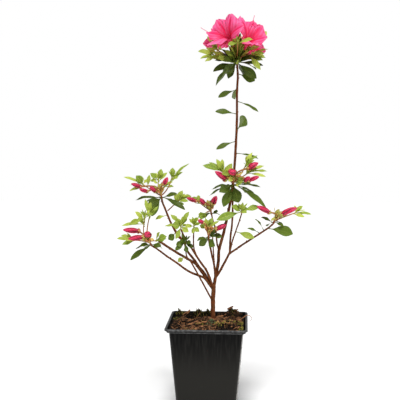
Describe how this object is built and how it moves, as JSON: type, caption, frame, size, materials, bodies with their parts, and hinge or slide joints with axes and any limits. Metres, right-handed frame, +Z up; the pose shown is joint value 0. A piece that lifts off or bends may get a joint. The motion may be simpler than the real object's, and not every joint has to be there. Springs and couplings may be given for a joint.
{
  "type": "potted azalea",
  "caption": "Young potted azalea with open pink blooms on a tall stem, budded side branches and small leaves, in a square black nursery pot.",
  "frame": {"origin": "middle of the pot's underside", "axes": "+Z up along the trunk, -Y towards the picture's viewer, +X to the viewer's right"},
  "size_m": [0.259, 0.1122, 0.5349],
  "materials": {
    "pot": "black moulded plastic with a grey sheen on the rim",
    "soil": "damp peat with bark chips and moss",
    "bark": "reddish brown young bark",
    "leaf_old": "dark green leaf with a soft gloss",
    "leaf_young": "light yellow-green leaf",
    "bud": "crimson closed bud on a pinkish stalk",
    "petal": "bright pink petal with a crimson throat"
  },
  "bodies": {
    "root": {"pot": "pot", "soil": "soil", "trunk_and_branches": "bark", "bloom_1": "petal", "bloom_2": "petal", "bloom_3": "petal", "bloom_4": "petal", "middle_buds": "bud", "upper_left_buds": "bud", "lower_left_buds": "bud", "inner_back_buds": "bud", "inner_front_buds": "bud", "right_buds": "bud", "centre_left_rosette": "leaf_young", "centre_right_rosette": "leaf_young", "low_rosette": "leaf_old", "twin_stem_leaves": "leaf_old", "fork_rosette": "leaf_young", "fork_node_leaf": "leaf_young", "upper_left_side_shoot": "leaf_young", "stem_leaf_1": "leaf_old", "stem_leaf_2": "leaf_old", "stem_leaf_3": "leaf_old", "stem_leaf_4": "leaf_old", "stem_leaf_5": "leaf_old", "stem_leaf_6": "leaf_old", "stem_leaf_7": "leaf_old", "stem_leaf_8": "leaf_old", "branch_leaf_1": "leaf_young", "branch_leaf_2": "leaf_old", "branch_leaf_3": "leaf_young", "branch_leaf_4": "leaf_old", "branch_leaf_5": "leaf_old", "branch_leaf_6": "leaf_old", "top_old_leaves": "leaf_old", "middle_old_leaves": "leaf_old", "upper_left_old_leaves": "leaf_old", "lower_left_old_leaves": "leaf_old", "inner_back_old_leaves": "leaf_old", "inner_front_old_leaves": "leaf_old", "right_old_leaves": "leaf_old", "top_young_shoots": "leaf_young", "middle_young_shoots": "leaf_young", "upper_left_young_shoots": "leaf_young", "lower_left_young_shoots": "leaf_young", "inner_back_young_shoots": "leaf_young", "inner_front_young_shoots": "leaf_young", "right_young_shoots": "leaf_young"}
  },
  "joints": []
}
